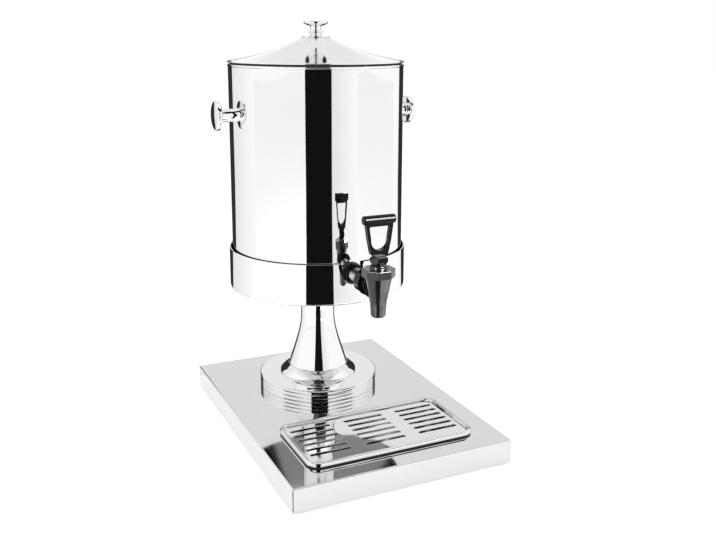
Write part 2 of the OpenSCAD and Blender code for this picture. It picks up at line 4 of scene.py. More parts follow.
import bmesh
import bpy
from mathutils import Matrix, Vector

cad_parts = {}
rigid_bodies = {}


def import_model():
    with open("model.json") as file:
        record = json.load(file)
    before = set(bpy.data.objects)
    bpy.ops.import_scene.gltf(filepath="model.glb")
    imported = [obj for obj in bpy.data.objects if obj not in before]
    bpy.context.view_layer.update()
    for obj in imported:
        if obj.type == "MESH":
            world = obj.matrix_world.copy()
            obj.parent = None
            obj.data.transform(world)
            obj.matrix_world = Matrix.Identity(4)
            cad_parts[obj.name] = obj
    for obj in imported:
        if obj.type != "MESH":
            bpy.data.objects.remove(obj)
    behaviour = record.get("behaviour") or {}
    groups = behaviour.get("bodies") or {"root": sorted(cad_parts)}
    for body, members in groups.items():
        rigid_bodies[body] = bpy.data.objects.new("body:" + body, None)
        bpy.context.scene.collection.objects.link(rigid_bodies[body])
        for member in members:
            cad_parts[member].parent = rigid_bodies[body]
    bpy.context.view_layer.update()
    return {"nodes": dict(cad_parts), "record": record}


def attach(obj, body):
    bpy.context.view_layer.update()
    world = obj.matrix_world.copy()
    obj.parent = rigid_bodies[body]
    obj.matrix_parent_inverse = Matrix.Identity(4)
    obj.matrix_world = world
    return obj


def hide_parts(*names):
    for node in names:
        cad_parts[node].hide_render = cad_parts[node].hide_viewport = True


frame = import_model()
print("frame loaded")

mm = 0.001
near = 1e-5  # in metres: two places this close are the same
tankY = 70  # the upright axis of column, holder, tank and lid
tapY = -105  # the upright axis of the spout
trayY = -101  # the middle of the drip tray
shankZ = 200  # the level of the shank's axis
corners = ((-1, -1), (1, -1), (1, 1), (-1, 1))
lyingAlongY = (math.pi / 2, 0, 0)

# Working by hand: modes, selecting, shaping, applying


def sizesOf(values, names):
    return [values[name] for name in names.split()]


def startEdit():
    bpy.ops.object.mode_set(mode="EDIT")


def leaveEdit():
    bpy.ops.object.mode_set(mode="OBJECT")


def deselectAll():
    if bpy.context.object and bpy.context.object.mode != "OBJECT":
        leaveEdit()
    bpy.ops.object.select_all(action="DESELECT")


def takeUp(piece):
    deselectAll()
    piece.select_set(True)
    bpy.context.view_layer.objects.active = piece


def pick(kind, test):
    # in edit mode: leaves selected only the parts that pass the test
    bpy.ops.mesh.select_mode(type=kind)
    bpy.ops.mesh.select_all(action="DESELECT")
    mesh = bmesh.from_edit_mesh(bpy.context.object.data)
    for part in {"VERT": mesh.verts, "EDGE": mesh.edges, "FACE": mesh.faces}[kind]:
        if test(part):
            part.select_set(True)
    mesh.select_flush_mode()
    bmesh.update_edit_mesh(bpy.context.object.data)


def pickAll(kind):
    bpy.ops.mesh.select_mode(type=kind)
    bpy.ops.mesh.select_all(action="SELECT")


def edgeMiddle(edge):
    return (edge.verts[0].co + edge.verts[1].co) / 2


def edgeSpan(edge, axis):
    return abs(getattr(edge.verts[0].co, axis) - getattr(edge.verts[1].co, axis))


def pull(move):
    bpy.ops.mesh.extrude_region_move(TRANSFORM_OT_translate={"value": move})


def pullUp(height):
    pull((0, 0, height * mm))


def inset(distance, height=0):
    bpy.ops.mesh.inset(thickness=distance * mm, depth=height * mm)


def faceOut():
    # turns every face outwards and leaves edit mode
    bpy.ops.mesh.select_all(action="SELECT")
    bpy.ops.mesh.normals_make_consistent(inside=False)
    leaveEdit()


def applied(piece, kind, **values):
    takeUp(piece)
    modifier = piece.modifiers.new(kind.lower(), kind)
    for key, value in values.items():
        setattr(modifier, key, value)
    bpy.ops.object.modifier_apply(modifier=modifier.name)


def eased(piece, width, segments=2, degrees=50):
    # rounds the edges that turn by more than this many degrees
    applied(piece, "BEVEL", width=width * mm, segments=segments, limit_method="ANGLE",
            angle_limit=math.radians(degrees))


def cutAway(piece, cutter, operation="DIFFERENCE"):
    applied(piece, "BOOLEAN", object=cutter, operation=operation, solver="EXACT")
    takeUp(cutter)
    bpy.ops.object.delete()


def applyPlace(piece):
    takeUp(piece)
    bpy.ops.object.transform_apply(location=True, rotation=True, scale=True)


def joined(pieces):
    takeUp(pieces[0])
    for piece in pieces[1:]:
        piece.select_set(True)
    bpy.ops.object.join()
    return pieces[0]


def takeNew(name, scale=(1, 1, 1)):
    # names and scales the primitive that was just added, applies its place and starts edit mode
    piece = bpy.context.object
    piece.name = piece.data.name = name
    piece.scale = scale
    applyPlace(piece)
    startEdit()
    return piece


def finishPiece(piece, body, material, node, angle=35):
    applyPlace(piece)
    bpy.ops.object.shade_smooth_by_angle(angle=math.radians(angle))
    applied(piece, "WEIGHTED_NORMAL", keep_sharp=True, weight=60)  # flat faces stay flat beside round edges
    piece.data.materials.clear()
    piece.data.materials.append(material)
    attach(piece, body)
    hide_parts(node)


def arcPoints(cx, cz, radius, fromDegrees, toDegrees, steps=8):
    # points of an arc for a turned profile, as (radius, height)
    turn = [math.radians(fromDegrees + (toDegrees - fromDegrees) * i / steps) for i in range(steps + 1)]
    return [(cx + radius * math.cos(a), cz + radius * math.sin(a)) for a in turn]


def lowCorner(radius, low, edge, steps=4):
    return arcPoints(radius - edge, low + edge, edge, -90, 0, steps)


def highCorner(radius, high, edge, steps=4):
    return arcPoints(radius - edge, high - edge, edge, 0, 90, steps)


def turned(name, profile, at, axis="Z", sides=160, flip=False):
    # A circle at the first point of the profile, then every next point extruded and scaled from it.
    # profile holds (radius, height) in mm from `at`. A radius of 0 closes a pole. A profile that doesn't
    # start at a pole is closed from its last point to its first.
    along = {"X": Vector((1, 0, 0)), "Y": Vector((0, 1, 0)), "Z": Vector((0, 0, 1))}[axis]
    along = -along if flip else along
    turn = {"X": (0, math.pi / 2, 0), "Y": lyingAlongY, "Z": (0, 0, 0)}[axis]
    startPole = profile[0] if profile[0][0] == 0 else None
    points = profile[1:] if startPole else profile
    first, base = points[0], Vector(at)

    def ringTo(radius, height, last):
        pull(along * (height - last[1]) * mm)
        if radius == 0:
            bpy.ops.mesh.merge(type="CENTER")
        elif abs(radius - last[0]) > 1e-6:
            grow = [1 if abs(c) > 0.5 else radius / last[0] for c in along]
            bpy.ops.transform.resize(value=grow, center_override=(base + along * height) * mm)

    def atFirst(vertex):
        off = vertex.co - base * mm
        height = off.dot(along)
        radius = (off - along * height).length
        return abs(height - first[1] * mm) <= 2e-6 and abs(radius - first[0] * mm) <= 2e-6

    deselectAll()
    bpy.ops.mesh.primitive_circle_add(vertices=sides, radius=first[0] * mm, fill_type="NOTHING",
                                      location=(base + along * first[1]) * mm, rotation=turn)
    piece = takeNew(name)
    pickAll("EDGE")
    for last, point in zip(points, points[1:]):
        ringTo(*point, last)
    if startPole:
        pick("EDGE", lambda edge: edge.is_boundary and all(atFirst(v) for v in edge.verts))
        ringTo(*startPole, first)
    else:
        pick("EDGE", lambda edge: edge.is_boundary)
        bpy.ops.mesh.bridge_edge_loops()
    bpy.ops.mesh.select_all(action="SELECT")
    bpy.ops.mesh.remove_doubles(threshold=1e-7)
    faceOut()
    return piece


def roundedPlane(name, width, depth, corner, at, steps=12):
    # a plane with its four corners rounded, left in edit mode with its face selected
    deselectAll()
    bpy.ops.mesh.primitive_plane_add(size=1, location=Vector(at) * mm)
    piece = takeNew(name, (width * mm, depth * mm, 1))
    pickAll("VERT")
    bpy.ops.mesh.bevel(offset=corner * mm, segments=steps, affect="VERTICES")
    pickAll("FACE")
    return piece


def box(name, width, depth, low, high, x=0, y=0, turn=0):
    # a box between two levels, left in edit mode
    deselectAll()
    bpy.ops.mesh.primitive_cube_add(size=1, location=(x * mm, y * mm, (low + high) / 2 * mm),
                                    rotation=(0, 0, turn))
    return takeNew(name, (width * mm, depth * mm, (high - low) * mm))


# Finishes: groups that several materials share


def addNode(tree, kind, given=None, **settings):
    # a node with its settings; given holds, for each of its sockets, a value or the socket that feeds it
    node = tree.nodes.new("ShaderNode" + kind)
    for key, value in settings.items():
        setattr(node, key, value)
    for socketName, value in (given or {}).items():
        if isinstance(value, bpy.types.NodeSocket):
            tree.links.new(value, node.inputs[socketName])
        else:
            node.inputs[socketName].default_value = value
    return node


def calculate(tree, operation, *values):
    return addNode(tree, "Math", dict(enumerate(values)), operation=operation).outputs["Value"]


def spread(tree, value, start, end, low=0, high=1, kind="LINEAR"):
    # start to end of the value becomes low to high
    return addNode(tree, "MapRange", {"Value": value, "From Min": start, "From Max": end, "To Min": low,
                                      "To Max": high}, interpolation_type=kind).outputs["Result"]


def mixed(tree, factor, first, second, kind="FLOAT"):
    return addNode(tree, "Mix", {"Factor": factor, "A": first, "B": second}, data_type=kind).outputs["Result"]


def emptyTree(owner):
    owner.use_nodes = True
    owner.node_tree.nodes.clear()
    return owner.node_tree


def startGroup(name, inputs, outputs):
    group = bpy.data.node_groups.new(name, "ShaderNodeTree")
    for socketName, value in inputs.items():
        socket = group.interface.new_socket(socketName, in_out="INPUT", socket_type="NodeSocketFloat")
        socket.default_value = value
    for socketName in outputs:
        group.interface.new_socket(socketName, in_out="OUTPUT", socket_type="NodeSocketFloat")
    return group, group.nodes.new("NodeGroupInput").outputs, group.nodes.new("NodeGroupOutput").inputs


def objectPlace(tree):
    return addNode(tree, "TexCoord").outputs["Object"]


def noiseAt(group, place, scale, detail, roughness):
    return addNode(group, "TexNoise", {"Vector": place, "Scale": scale, "Detail": detail,
                                       "Roughness": roughness}).outputs["Fac"]


def smearGroup():
    # soft wiped patches: a roughness between Low and High
    group, given, made = startGroup("wipedPatches", {"Scale": 30, "Low": 0.03, "High": 0.08},
                                    ["Roughness", "Mask"])
    noise = noiseAt(group, objectPlace(group), given["Scale"], 5, 0.6)
    group.links.new(spread(group, noise, 0.35, 0.7, given["Low"], given["High"]), made["Roughness"])
    group.links.new(noise, made["Mask"])
    return group


def brushGroup():
    # fine straight lines, stretched along one axis: 0 to 1
    axes = {"Along X": 1, "Along Y": 1, "Along Z": 1}
    group, given, made = startGroup("brushLines", axes | {"Scale": 900}, ["Lines"])
    stretch = addNode(group, "CombineXYZ", {name[-1]: given[name] for name in axes})
    scaled = addNode(group, "VectorMath", {0: objectPlace(group), 1: stretch.outputs["Vector"]},
                     operation="MULTIPLY")
    group.links.new(noiseAt(group, scaled.outputs["Vector"], given["Scale"], 3, 0.65), made["Lines"])
    return group


def waveGroup():
    # the slow unevenness of thin sheet and of moulded skins, as a height
    group, given, made = startGroup("slowWaves", {"Scale": 12}, ["Height"])
    group.links.new(noiseAt(group, objectPlace(group), given["Scale"], 1, 0.4), made["Height"])
    return group


wipedPatches = smearGroup()
brushLines = brushGroup()
slowWaves = waveGroup()


def newMaterial(name, color, metallic, **sockets):
    material = bpy.data.materials.new(name)
    material.use_nodes = True
    shader = material.node_tree.nodes["Principled BSDF"]
    shader.inputs["Base Color"].default_value = (*color, 1)
    shader.inputs["Metallic"].default_value = metallic
    for socketName, value in sockets.items():
        shader.inputs[socketName.replace("_", " ")].default_value = value
    material.diffuse_color = (*color, 1)
    return material, material.node_tree, shader


def linkBump(tree, shader, height, depth):
    bump = addNode(tree, "Bump", {"Strength": 1, "Distance": depth * mm, "Height": height})
    tree.links.new(bump.outputs["Normal"], shader.inputs["Normal"])
    return bump


def linkWaves(tree, scale):
    return addNode(tree, "Group", {"Scale": scale}, node_tree=slowWaves).outputs["Height"]


def mixedTone(tree, shader, mask, dark, light):
    tree.links.new(mixed(tree, mask, (*dark, 1), (*light, 1), "RGBA"), shader.inputs["Base Color"])


def linkSmears(tree, shader, scale, low, high, dark, light):
    # wiped patches in the roughness, and faintly in the base colour, between a dark and a light tone
    smears = addNode(tree, "Group", {"Scale": scale, "Low": low, "High": high}, node_tree=wipedPatches)
    tree.links.new(smears.outputs["Roughness"], shader.inputs["Roughness"])
    mixedTone(tree, shader, smears.outputs["Mask"], dark, light)


def polishedSteel(name, tone, low, high, waveDepth, waveScale=12):
    material, tree, shader = newMaterial(name, (tone, tone, tone * 1.005), 1)
    linkSmears(tree, shader, 26, low, high, (tone * 0.97,) * 3, (tone * 1.02, tone * 1.02, tone * 1.025))
    linkBump(tree, shader, linkWaves(tree, waveScale), waveDepth)
    return material


def brushedSteel(name, tone, low, high, stretch, lineDepth, waveDepth=0.0, waveScale=10):
    material, tree, shader = newMaterial(name, (tone, tone, tone * 1.005), 1)
    given = {"Along X": stretch[0], "Along Y": stretch[1], "Along Z": stretch[2], "Scale": 900}
    lines = addNode(tree, "Group", given, node_tree=brushLines).outputs["Lines"]
    tree.links.new(spread(tree, lines, 0.3, 0.7, low, high), shader.inputs["Roughness"])
    mixedTone(tree, shader, lines, (tone * 0.93,) * 3, (tone * 1.05, tone * 1.05, tone * 1.06))
    bump = linkBump(tree, shader, lines, lineDepth)
    if waveDepth:
        slow = addNode(tree, "Bump", {"Distance": waveDepth * mm, "Height": linkWaves(tree, waveScale)})
        tree.links.new(slow.outputs["Normal"], bump.inputs["Normal"])
    return material


def mouldedPlastic(name, color, low, high, grainScale, grainDepth, **sockets):
    material, tree, shader = newMaterial(name, color, 0, **sockets)
    linkSmears(tree, shader, 60, low, high, [c * 0.85 for c in color], [min(1, c * 1.15) for c in color])
    linkBump(tree, shader, linkWaves(tree, grainScale), grainDepth)
    return material


def holderSteelShadedUnder():
    # polished outside; the underside is rougher, as it came from the press, and its base colour is darker as
    # painted shade under the holder
    material = polishedSteel("holderSteel", 0.92, 0.015, 0.045, 0.06)
    tree = material.node_tree
    shader = tree.nodes["Principled BSDF"]
    split = addNode(tree, "SeparateXYZ", {"Vector": addNode(tree, "NewGeometry").outputs["True Normal"]})
    under = calculate(tree, "LESS_THAN", split.outputs["Z"], -0.97)
    # faces turned down: a darker base colour that is painted shade, and a higher roughness that is the press
    # finish
    roughAndShadedUnder = {"Base Color": ("RGBA", (0.82, 0.82, 0.825, 1)), "Roughness": ("FLOAT", 0.1)}
    for socketName, (kind, value) in roughAndShadedUnder.items():
        polished = shader.inputs[socketName].links[0].from_socket
        tree.links.new(mixed(tree, under, polished, value, kind), shader.inputs[socketName])
    return material


mirrorSteel = polishedSteel("mirrorSteel", 0.92, 0.015, 0.045, 0.06)
turnedSteel = polishedSteel("turnedSteel", 0.92, 0.02, 0.05, 0.0, 20)
sheetSteel = brushedSteel("sheetSteel", 0.80, 0.03, 0.07, (1, 0.03, 1), 0.0002, 0.12, 9)
traySteel = brushedSteel("traySteel", 0.86, 0.03, 0.07, (0.03, 1, 1), 0.0002, 0.8, 26)
satinSteel = brushedSteel("satinSteel", 0.72, 0.24, 0.36, (1, 1, 0.03), 0.001)
plainSteel = brushedSteel("plainSteel", 0.66, 0.16, 0.3, (0.05, 1, 1), 0.001)
blackGloss = mouldedPlastic("blackGloss", (0.005, 0.005, 0.0053), 0.04, 0.08, 900, 0.003,
                            Specular_IOR_Level=0.16)
blackMould = mouldedPlastic("blackMould", (0.012, 0.012, 0.0123), 0.1, 0.17, 900, 0.004,
                            Specular_IOR_Level=0.7)
blackRubber = mouldedPlastic("blackRubber", (0.025, 0.025, 0.026), 0.5, 0.7, 1500, 0.02)
clearSilicone = mouldedPlastic("clearSilicone", (0.8, 0.81, 0.8), 0.3, 0.45, 700, 0.006,
                               Subsurface_Weight=0.3, Transmission_Weight=0.45)
bluePlastic = mouldedPlastic("bluePlastic", (0.05, 0.17, 0.4), 0.32, 0.5, 800, 0.02)

slotMaterials = {"mirror_steel": mirrorSteel, "brushed_sheet": sheetSteel, "satin_steel": satinSteel,
                 "plain_steel": plainSteel, "black_gloss": blackGloss, "black_rubber": blackRubber,
                 "clear_silicone": clearSilicone, "blue_plastic": bluePlastic}
for part in frame["record"]["subparts"]:
    node = frame["nodes"][part["node"]]
    node.data.materials.clear()
    node.data.materials.append(slotMaterials[part["material_slot"]])
print("finishes ready")

# Base plate: a box folded from sheet, slit at its corners, with an inward flange

plate = {"width": 260, "depth": 360, "top": 28.5, "low": 2, "sheet": 1.5, "bend": 1.6, "flange": 19.5,
         "openingWidth": 188, "openingDepth": 92, "openingCorner": 6,
         "slit": 1.3, "slitLength": 8, "slitIn": 1.5, "slitLow": 3, "slitTop": 26.6}


def makePlate():
    halfWidth, halfDepth, top = plate["width"] / 2, plate["depth"] / 2, plate["top"]
    piece = box("basePlate", plate["width"], plate["depth"], plate["low"], top)
    pick("FACE", lambda face: face.normal.z < -0.5)
    inset(plate["flange"])  # what is left of the bottom is the flange
    bpy.ops.mesh.delete(type="FACE")
    leaveEdit()
    applied(piece, "SOLIDIFY", thickness=plate["sheet"] * mm, offset=-1, use_even_offset=True)
    startEdit()

    def outerSides(vertex):
        gaps = (abs(vertex.co.x) - halfWidth * mm, abs(vertex.co.y) - halfDepth * mm)
        return sum(abs(gap) < near for gap in gaps)

    pick("EDGE", lambda edge: all(abs(v.co.z - top * mm) < near and outerSides(v) for v in edge.verts)
         or (edgeSpan(edge, "z") > 0.01 and all(outerSides(v) == 2 for v in edge.verts)))
    bpy.ops.mesh.bevel(offset=plate["bend"] * mm, segments=5)
    leaveEdit()
    opening = roundedPlane("openingCutter", *sizesOf(plate, "openingWidth openingDepth openingCorner"),
                           (0, trayY, top - 8))
    pullUp(16)
    faceOut()
    cutAway(piece, opening)
    blades = [box("slitBlade", plate["slitLength"], plate["slit"], plate["slitLow"], plate["slitTop"],
                  x * (halfWidth - plate["slitIn"]), y * (halfDepth - plate["slitIn"]), math.pi / 4 * x * y)
              for x, y in corners]
    cutAway(piece, joined(blades))
    return piece


finishPiece(makePlate(), "stand", sheetSteel, "base_plate")

# Feet: a low rubber foot with a rounded edge, a hollow sole and a stud, near each corner

feet = {"radius": 7.5, "edge": 0.6, "x": 119, "y": 169, "sole": [(0, 0.7), (4.5, 0.7), (5.3, 0)],
        "stud": [(7.5, 2), (3, 2), (3, 3.5), (4.1, 3.5), (4.1, 4.4), (3.3, 5), (0, 5)]}


def makeFeet():
    profile = feet["sole"] + lowCorner(feet["radius"], 0, feet["edge"]) + feet["stud"]
    piece = joined([turned("rubberFoot", profile, (x * feet["x"], y * feet["y"], 0), sides=48)
                    for x, y in corners])
    piece.name = "rubberFeet"
    return piece


finishPiece(makeFeet(), "stand", blackRubber, "rubber_feet")
print("plate and feet")

# Drip tray: pressed sheet with a raised edge, a ledge for the grille and a pan
# section goes in from the outer edge: (how far in, height)

tray = {"width": 200, "depth": 104, "corner": 14, "sheet": 1.0,
        "section": [(0, 30.3), (0, 32.0), (0.12, 32.9), (0.45, 33.65), (1.0, 34.2), (1.7, 34.46), (2.3, 34.5),
                    (2.8, 34.35), (3.1, 34.05), (3.25, 33.8), (3.4, 34.0), (3.7, 34.1), (4.0, 34.05),
                    (4.3, 33.8), (4.5, 33.3), (4.55, 30.5), (4.8, 30.05), (5.2, 30), (7.6, 30),
                    (7.95, 29.85), (8.2, 29.3), (8.3, 7.7), (8.7, 6.8), (9.8, 6.2)]}


def makeTray():
    section = tray["section"]
    low = section[0][1]
    piece = roundedPlane("dripTray", tray["width"], tray["depth"], tray["corner"], (0, trayY, low))
    for (far, high), (nextFar, nextHigh) in zip(section, section[1:]):
        if nextFar == far:
            pullUp(nextHigh - high)
        else:
            inset(nextFar - far, nextHigh - high)
    pick("FACE", lambda face: abs(face.normal.z) > 0.99
         and abs(face.calc_center_median().z - low * mm) < near)
    bpy.ops.mesh.delete(type="FACE")
    leaveEdit()
    applied(piece, "SOLIDIFY", thickness=tray["sheet"] * mm, offset=-1)
    return piece


finishPiece(makeTray(), "tray", traySteel, "drip_tray")

# a black rubber ring under the tray's raised edge: a dark part put as painted shade in the crevice at the
# edge's foot
traySeal = {"width": 199.4, "depth": 103.4, "corner": 13.7, "wide": 2.1, "low": 28.6, "thick": 1.3,
            "edge": 0.25}


def makeShadeRingUnderTray():
    piece = roundedPlane("traySeal", traySeal["width"], traySeal["depth"], traySeal["corner"],
                         (0, trayY, traySeal["low"]))
    inset(traySeal["wide"])
    bpy.ops.mesh.delete(type="FACE")
    bpy.ops.mesh.select_all(action="SELECT")
    pullUp(traySeal["thick"])
    faceOut()
    eased(piece, traySeal["edge"])
    return piece


finishPiece(makeShadeRingUnderTray(), "tray", blackRubber, "tray_seal")

# slotEdge rounds a slot's upper edge: (how much higher, how much wider)
grille = {"width": 190, "depth": 94, "corner": 9, "low": 30.2, "thick": 1.5, "slotLength": 49, "slotWidth": 5,
          "rows": 7, "pitch": 12, "columns": 3, "columnPitch": 66, "slotsY": -91,
          "slotEdge": [(0.3, 0.16), (0.15, 0.3), (0.6, 0.3)]}


def makeGrille():
    length, width = grille["slotLength"], grille["slotWidth"]
    piece = roundedPlane("dripGrille", *sizesOf(grille, "width depth corner"), (0, trayY, grille["low"]))
    pullUp(grille["thick"] - 0.3)
    inset(0.1, 0.2)
    inset(0.3, 0.1)
    faceOut()
    firstSlot = (-grille["columnPitch"], grille["slotsY"] - 3 * grille["pitch"], grille["low"] - 1)
    slot = roundedPlane("slotCutter", length, width, width / 2 - 0.01, firstSlot, 10)
    pullUp(1 + grille["thick"] - 0.45)
    for rise, wider in grille["slotEdge"]:
        pullUp(rise)
        bpy.ops.transform.resize(value=(1 + wider / length, 1 + wider / width, 1))
    faceOut()
    for count, step in ((grille["columns"], (grille["columnPitch"] * mm, 0, 0)),
                        (grille["rows"], (0, grille["pitch"] * mm, 0))):
        applied(slot, "ARRAY", count=count, use_relative_offset=False, use_constant_offset=True,
                constant_offset_displace=step)
    cutAway(piece, slot)
    return piece


finishPiece(makeGrille(), "grille", traySteel, "drip_grille")
print("tray and grille")

# Plinth, collar and column

plinth = {"radius": 75, "low": 28.5, "ring": 5, "rings": 3, "groove": 0.9, "crown": 0.125, "bore": 4.3}


def plinthProfile():
    radius, ringHeight, groove = plinth["radius"], plinth["ring"], plinth["groove"]
    tall = plinth["rings"] * ringHeight
    points = [(plinth["bore"], 0), (radius - groove, 0)]
    for low in range(0, tall, ringHeight):
        points += arcPoints(radius - 0.1, low, groove - 0.1, 160, 90, 5)
        for t in (j / 12 for j in range(1, 12)):
            side = radius - plinth["crown"] * (2 * t - 1) ** 4
            points.append((side, low + groove + (ringHeight - 2 * groove) * t))
        points += arcPoints(radius - 0.1, low + ringHeight, groove - 0.1, -90, -160, 5)
    return points + [(radius - groove - 0.4, tall), (plinth["bore"], tall)]


finishPiece(turned("plinthRings", plinthProfile(), (0, tankY, plinth["low"]), sides=192),
            "stand", turnedSteel, "plinth")

bead = {"radius": 48.5, "height": 10.5, "low": 43.5, "inner": 33.3, "edge": 1.2, "top": 37.9, "crown": 0.45}


def beadProfile():
    # a cone-shaped collar, slightly crowned, that turns under at its lower edge
    radius, edge, top, tall = bead["radius"], bead["edge"], bead["top"], bead["height"]
    points = [(bead["inner"], 0)] + arcPoints(radius - edge, edge, edge, -90, 35)
    first, last = points[-1], (top, tall - 0.15)
    for t in (i / 17 for i in range(1, 17)):
        swell = bead["crown"] * 4 * t * (1 - t)
        points.append((first[0] + (last[0] - first[0]) * t + swell * 0.6,
                       first[1] + (last[1] - first[1]) * t + swell * 0.8))
    return points + [last, (top - 0.15, tall), (bead["inner"], tall)]


finishPiece(turned("columnBead", beadProfile(), (0, tankY, bead["low"]), sides=192),
            "stand", turnedSteel, "column_bead")

column = {"foot": 37.3, "neck": 21.3, "flare": 64, "low": 54, "top": 162, "footRound": 0.8, "wall": 2}


def columnProfile():
    foot, neck, footRound, wall = column["foot"], column["neck"], column["footRound"], column["wall"]
    tall = column["top"] - column["low"]
    flare = [(neck + (foot - neck) * ((1 - t) ** 1.5 + 0.5 * t * (1 - t) ** 3), column["flare"] * t)
             for t in (i / 48 for i in range(49))]
    outside = [p for p in flare if p[1] > footRound] + [(neck, tall)]
    inside = [(r - wall, h) for r, h in outside[::-6]]
    return (lowCorner(foot, 0, footRound, 5) + outside + [(neck - wall, tall)] + inside[1:]
            + [(foot - wall - 1, 0)])


finishPiece(turned("trumpetColumn", columnProfile(), (0, tankY, column["low"]), sides=192),
            "stand", turnedSteel, "column")
print("plinth, collar and column")

# Holder: a cup with a U-shaped notch, open at the top, for the tap's shank

holder = {"radius": 109.5, "low": 162, "height": 50, "wall": 1.5, "corner": 3, "bore": 4.3, "lip": 0.35,
          "notchWidth": 26, "notchZ": 200, "notchFillet": 3, "notchDeep": 14}


def makeHolder():
    r, wall, corner, tall, lip = sizesOf(holder, "radius wall corner height lip")
    profile = ([(holder["bore"], 0)] + lowCorner(r, 0, corner, 12) + highCorner(r, tall, lip)
               + arcPoints(r - wall + lip, tall - lip, lip, 90, 180, 4)
               + arcPoints(r - corner, corner, corner - wall, 0, -90) + [(holder["bore"], wall)])
    piece = turned("tankHolder", profile, (0, tankY, holder["low"]), sides=256)

    half, fillet, notchZ = holder["notchWidth"] / 2, holder["notchFillet"], holder["notchZ"]
    rise = holder["low"] + tall - notchZ
    deselectAll()
    bpy.ops.mesh.primitive_circle_add(vertices=64, radius=half * mm, fill_type="NGON", rotation=lyingAlongY,
                                      location=(0, (tankY - r - 5) * mm, notchZ * mm))
    cutter = takeNew("notchCutter")
    pick("VERT", lambda vertex: vertex.co.z > (notchZ + 0.01) * mm)  # the upper half goes for the slit
    bpy.ops.mesh.delete(type="VERT")
    pickAll("VERT")
    bpy.ops.mesh.edge_face_add()
    pick("EDGE", lambda edge: all(abs(v.co.z - notchZ * mm) < near for v in edge.verts)
         and edge.calc_length() > half * mm)
    reach, height = half, 0.0
    slit = arcPoints(half + fillet, rise - fillet, fillet, 180, 90, 9) + [(half + fillet, rise + 3)]
    for nextReach, nextHeight in slit:
        pullUp(nextHeight - height)
        bpy.ops.transform.resize(value=(nextReach / reach, 1, 1), center_override=(0, 0, 0))
        reach, height = nextReach, nextHeight
    pickAll("FACE")
    pull((0, holder["notchDeep"] * mm, 0))
    faceOut()
    cutAway(piece, cutter)
    return piece


finishPiece(makeHolder(), "stand", holderSteelShadedUnder(), "holder")
print("holder")

# Tank: outer wall, liner and rolled rim

tank = {"radius": 105.5, "wall": 1.0, "low": 163.8, "top": 431.5, "edge": 0.5}


def tankProfile():
    r, wall, low, top, edge = sizesOf(tank, "radius wall low top edge")
    return ([(r - wall, low), (r - edge, low)] + arcPoints(r - edge, low + edge, edge, -70, 0, 4)
            + [(r, low + 12), (r, top - 12), (r, top), (r - wall, top)])


finishPiece(turned("tankWall", tankProfile(), (0, tankY, 0), sides=320),
            "tank", mirrorSteel, "tank_shell")

liner = {"radius": 99, "wall": 0.8, "low": 187, "top": 433, "corner": 9}


def linerProfile():
    r, wall, low, top, corner = sizesOf(liner, "radius wall low top corner")
    return ([(0, low)] + lowCorner(r, low, corner, 8) + [(r, top), (r - wall, top)]
            + arcPoints(r - corner, low + corner, corner - wall, 0, -90) + [(0, low + wall)])


finishPiece(turned("tankLiner", linerProfile(), (0, tankY, 0), sides=192),
            "tank", satinSteel, "tank_liner")

rim = {"inner": 98.2, "roll": 1.5, "rollRadius": 104.7, "top": 434.5, "edge": 0.3}


def rimProfile():
    inner, roll, rollRadius, top, edge = sizesOf(rim, "inner roll rollRadius top edge")
    return ([(inner, top - roll), (rollRadius - roll, top - roll)]
            + arcPoints(rollRadius, top - roll, roll, -170, 90, 24)
            + [(inner + edge, top), (inner, top - edge)])


finishPiece(turned("tankRim", rimProfile(), (0, tankY, 0), sides=256),
            "tank", turnedSteel, "tank_rim")
print("tank")

# Handles: a short stem with a flange and a round disc, left and right

handle = {"z": 376, "stem": 7.7, "wallX": 105.22, "flange": 8.9, "flangeThick": 1.5, "fillet": 0.4,
          "discX": 122, "disc": 17.3, "thick": 6.5, "edge": 1.5, "face": 2.8, "dome": 0.6}


def stemProfile():
    wallX, stem, flange, discX, fillet = sizesOf(handle, "wallX stem flange discX fillet")
    flangeX = discX - handle["flangeThick"]
    return ([(0, wallX), (stem, wallX), (stem, flangeX - fillet)]
            + arcPoints(stem + fillet, flangeX - fillet, fillet, 180, 90, 3)[1:]
            + lowCorner(flange, flangeX, fillet, 3) + [(flange, discX), (0, discX)])


def discProfile():
    disc, discX, face, dome = sizesOf(handle, "disc discX face dome")
    top = discX + handle["thick"]
    crown = [(r, top - dome * (r / (disc - face)) ** 2) for r in (12.5, 10, 7.5, 5, 2.5)]
    return ([(0, discX)] + lowCorner(disc, discX, handle["edge"], 8)
            + arcPoints(disc - face, top - dome - face, face, 0, 82, 14) + crown + [(0, top)])


for label, flip in (("left", True), ("right", False)):
    for part, profile, sides in (("Stem", stemProfile(), 96), ("Disc", discProfile(), 128)):
        finishPiece(turned(label + part, profile, (0, tankY, handle["z"]), "X", sides, flip=flip),
                    "tank", turnedSteel, label + "_handle_" + part.lower())
print("handles")

# Lid: a flat bell that turns up towards the knob

lid = {"radius": 106.6, "low": 437.1, "height": 28.0, "flat": 16.8, "thick": 0.9, "lip": 0.6, "hole": 2.5}


def lidProfile():
    radius, flat, tall, thick, lip = sizesOf(lid, "radius flat height thick lip")

    def rise(r):
        u = (radius - r) / (radius - flat)
        return tall * (0.64 * u + 0.36 * u ** 3)

    radii = [radius - 1 - (radius - 1 - flat) * i / 44 for i in range(45)]
    outside = [(r, rise(r)) for r in radii if r < radius - 2 * lip]
    inside = [(r, rise(r) - thick) for r in reversed(radii) if r < radius - 3]
    middle = [(flat - 0.8, tall), (lid["hole"], tall), (lid["hole"], tall - thick),
              (flat - 0.8, tall - thick)]
    return arcPoints(radius - lip, 0, lip, -90, 90, 10) + outside + middle + inside


finishPiece(turned("lidShell", lidProfile(), (0, tankY, lid["low"]), sides=256),
            "lid", mirrorSteel, "lid_shell")

